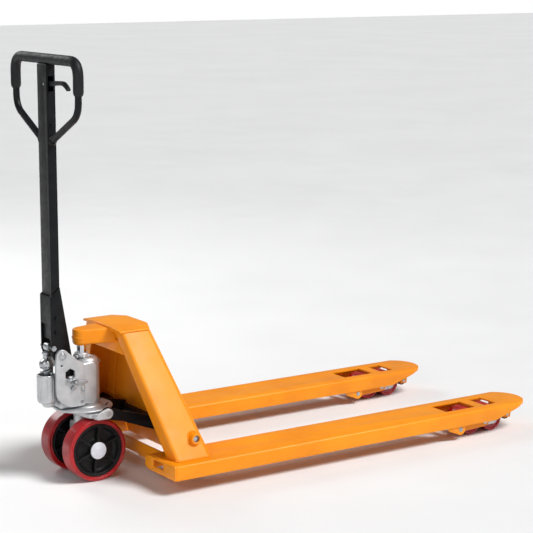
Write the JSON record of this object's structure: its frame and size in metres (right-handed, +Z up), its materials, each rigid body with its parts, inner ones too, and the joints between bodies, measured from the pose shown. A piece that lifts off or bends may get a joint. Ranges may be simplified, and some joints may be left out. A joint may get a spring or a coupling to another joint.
{
  "type": "pallet jack",
  "caption": "Hand pallet truck with long forks, tandem load rollers, steered wheels, hydraulic lift pump and a tilting loop handle.",
  "frame": {"origin": "centre of the truck's footprint, on the floor", "axes": "+X towards the fork tips, +Y to the operator's left, +Z up"},
  "size_m": [1.55, 0.685, 1.2025],
  "materials": {
    "yellow_paint": "semi-gloss",
    "black_paint": "satin",
    "silver_paint": "satin",
    "zinc": "bright zinc plate",
    "chrome": "polished",
    "spring_steel": "plated wire",
    "red_polyurethane": "satin",
    "hub_black": "matte",
    "cap_grey": "satin",
    "nylon_grey": "matte",
    "grip_rubber": "matte"
  },
  "bodies": {
    "yoke": {"yoke": "silver_paint", "thrust_bearing": "zinc", "rocker_pin_left": "zinc", "rocker_pin_right": "zinc"},
    "frame": {"fork_left": "yellow_paint", "fork_right": "yellow_paint", "heel_plate_left": "yellow_paint", "heel_plate_right": "yellow_paint", "leg_left": "yellow_paint", "leg_right": "yellow_paint", "shaft_boss_left": "yellow_paint", "shaft_boss_right": "yellow_paint", "cross_beam": "yellow_paint", "bulkhead": "yellow_paint", "head_gusset": "yellow_paint", "head": "yellow_paint", "head_cap": "yellow_paint", "ram": "chrome", "rocker_shaft": "zinc", "arm_pivot_pin_left": "zinc", "arm_pivot_pin_right": "zinc", "entry_axle_left": "zinc", "entry_axle_right": "zinc"},
    "rocker": {"rocker": "black_paint"},
    "steer": {"steer_base": "silver_paint", "pump_body": "silver_paint", "gland": "silver_paint", "filler_plug": "zinc", "steer_axle": "zinc", "handle_pivot_pin": "zinc", "pump_spring": "spring_steel"},
    "handle": {"mast": "black_paint", "clevis": "black_paint", "loop_tube": "black_paint", "loop_grip": "grip_rubber", "pressure_roller_pin": "zinc", "lever_pin": "zinc"},
    "piston": {"pump_piston": "zinc"},
    "pressure_roller": {"pressure_roller": "zinc"},
    "control_lever": {"control_lever": "black_paint"},
    "pull_rod": {"pull_rod": "zinc"},
    "release_lever": {"release_lever": "zinc"},
    "rod_left": {"push_rod_left": "zinc"},
    "arm_left": {"swing_arm_left": "yellow_paint"},
    "bogie_left": {"bogie_left": "zinc"},
    "rear_roller_left": {"load_roller_rear_left": "red_polyurethane"},
    "front_roller_left": {"load_roller_front_left": "red_polyurethane"},
    "entry_roller_left": {"entry_roller_left": "nylon_grey"},
    "wheel_left": {"wheel_hub_left": "hub_black", "wheel_tyre_left": "red_polyurethane", "hub_cap_left": "cap_grey"},
    "rod_right": {"push_rod_right": "zinc"},
    "arm_right": {"swing_arm_right": "yellow_paint"},
    "bogie_right": {"bogie_right": "zinc"},
    "rear_roller_right": {"load_roller_rear_right": "red_polyurethane"},
    "front_roller_right": {"load_roller_front_right": "red_polyurethane"},
    "entry_roller_right": {"entry_roller_right": "nylon_grey"},
    "wheel_right": {"wheel_hub_right": "hub_black", "wheel_tyre_right": "red_polyurethane", "hub_cap_right": "cap_grey"}
  },
  "joints": [
    {"name": "lift", "type": "slide", "parent": "yoke", "child": "frame", "axis": [0, 0, 1], "range_m": [0, 0.11]},
    {"name": "rocker_turn", "type": "hinge", "parent": "frame", "child": "rocker", "pos_m": [-0.436, 0, 0.14], "axis": [0, -1, 0], "range_deg": [0, 35]},
    {"name": "steer_turn", "type": "hinge", "parent": "yoke", "child": "steer", "pos_m": [-0.636, 0, 0.1], "axis": [0, 0, 1], "range_deg": [-90, 90]},
    {"name": "handle_tilt", "type": "hinge", "parent": "steer", "child": "handle", "pos_m": [-0.717, 0, 0.363], "axis": [0, -1, 0], "range_deg": [0, 70], "stiffness_Nm_per_rad": 32, "springref_deg": -17.19},
    {"name": "pump_stroke", "type": "slide", "parent": "steer", "child": "piston", "axis": [0, 0, -1], "range_m": [0, 0.0366], "deforming": ["pump_spring"]},
    {"name": "pressure_roller_spin", "type": "hinge", "parent": "handle", "child": "pressure_roller", "pos_m": [-0.739, 0, 0.386], "axis": [0, 1, 0], "continuous": true},
    {"name": "control_lever_turn", "type": "hinge", "parent": "handle", "child": "control_lever", "pos_m": [-0.728, -0.01, 1.12], "axis": [1, 0, 0], "range_deg": [-10, 12], "stiffness_Nm_per_rad": 2},
    {"name": "pull_rod_slide", "type": "slide", "parent": "handle", "child": "pull_rod", "axis": [0, 0, 1], "range_m": [-0.0033, 0.0039]},
    {"name": "release_lever_turn", "type": "hinge", "parent": "steer", "child": "release_lever", "pos_m": [-0.68, -0.049, 0.286], "axis": [0, 1, 0], "range_deg": [-9, 10.5]},
    {"name": "rod_turn_left", "type": "hinge", "parent": "rocker", "child": "rod_left", "pos_m": [-0.45568, 0.248, 0.077], "axis": [0, 1, 0], "range_deg": [0, 35.4]},
    {"name": "arm_turn_left", "type": "hinge", "parent": "frame", "child": "arm_left", "pos_m": [0.486, 0.2635, 0.0345], "axis": [0, 1, 0], "range_deg": [0, 70.4]},
    {"name": "bogie_turn_left", "type": "hinge", "parent": "arm_left", "child": "bogie_left", "pos_m": [0.599, 0.2635, 0.04], "axis": [0, -1, 0], "range_deg": [0, 70.4]},
    {"name": "rear_roller_spin_left", "type": "hinge", "parent": "bogie_left", "child": "rear_roller_left", "pos_m": [0.557, 0.2635, 0.04], "axis": [0, 1, 0], "continuous": true},
    {"name": "front_roller_spin_left", "type": "hinge", "parent": "bogie_left", "child": "front_roller_left", "pos_m": [0.641, 0.2635, 0.04], "axis": [0, 1, 0], "continuous": true},
    {"name": "entry_roller_spin_left", "type": "hinge", "parent": "frame", "child": "entry_roller_left", "pos_m": [0.706, 0.2635, 0.042], "axis": [0, 1, 0], "continuous": true},
    {"name": "wheel_spin_left", "type": "hinge", "parent": "steer", "child": "wheel_left", "pos_m": [-0.636, 0.066, 0.09], "axis": [0, 1, 0], "continuous": true},
    {"name": "rod_turn_right", "type": "hinge", "parent": "rocker", "child": "rod_right", "pos_m": [-0.45568, -0.248, 0.077], "axis": [0, 1, 0], "range_deg": [0, 35.4]},
    {"name": "arm_turn_right", "type": "hinge", "parent": "frame", "child": "arm_right", "pos_m": [0.486, -0.2635, 0.0345], "axis": [0, 1, 0], "range_deg": [0, 70.4]},
    {"name": "bogie_turn_right", "type": "hinge", "parent": "arm_right", "child": "bogie_right", "pos_m": [0.599, -0.2635, 0.04], "axis": [0, -1, 0], "range_deg": [0, 70.4]},
    {"name": "rear_roller_spin_right", "type": "hinge", "parent": "bogie_right", "child": "rear_roller_right", "pos_m": [0.557, -0.2635, 0.04], "axis": [0, 1, 0], "continuous": true},
    {"name": "front_roller_spin_right", "type": "hinge", "parent": "bogie_right", "child": "front_roller_right", "pos_m": [0.641, -0.2635, 0.04], "axis": [0, 1, 0], "continuous": true},
    {"name": "entry_roller_spin_right", "type": "hinge", "parent": "frame", "child": "entry_roller_right", "pos_m": [0.706, -0.2635, 0.042], "axis": [0, 1, 0], "continuous": true},
    {"name": "wheel_spin_right", "type": "hinge", "parent": "steer", "child": "wheel_right", "pos_m": [-0.636, -0.066, 0.09], "axis": [0, 1, 0], "continuous": true}
  ],
  "couplings": [
    {"joint": "rocker_turn", "follows": "lift", "rad_per_m": 5.5121},
    {"joint": "pump_stroke", "follows": "handle_tilt", "m_per_rad": 0.029876},
    {"joint": "pull_rod_slide", "follows": "control_lever_turn", "m_per_rad": 0.018},
    {"joint": "release_lever_turn", "follows": "control_lever_turn", "ratio": 0.82},
    {"joint": "rod_turn_left", "follows": "lift", "rad_per_m": 5.5608},
    {"joint": "arm_turn_left", "follows": "lift", "rad_per_m": 11.138},
    {"joint": "bogie_turn_left", "follows": "lift", "rad_per_m": 11.138},
    {"joint": "rod_turn_right", "follows": "lift", "rad_per_m": 5.5608},
    {"joint": "arm_turn_right", "follows": "lift", "rad_per_m": 11.138},
    {"joint": "bogie_turn_right", "follows": "lift", "rad_per_m": 11.138}
  ]
}
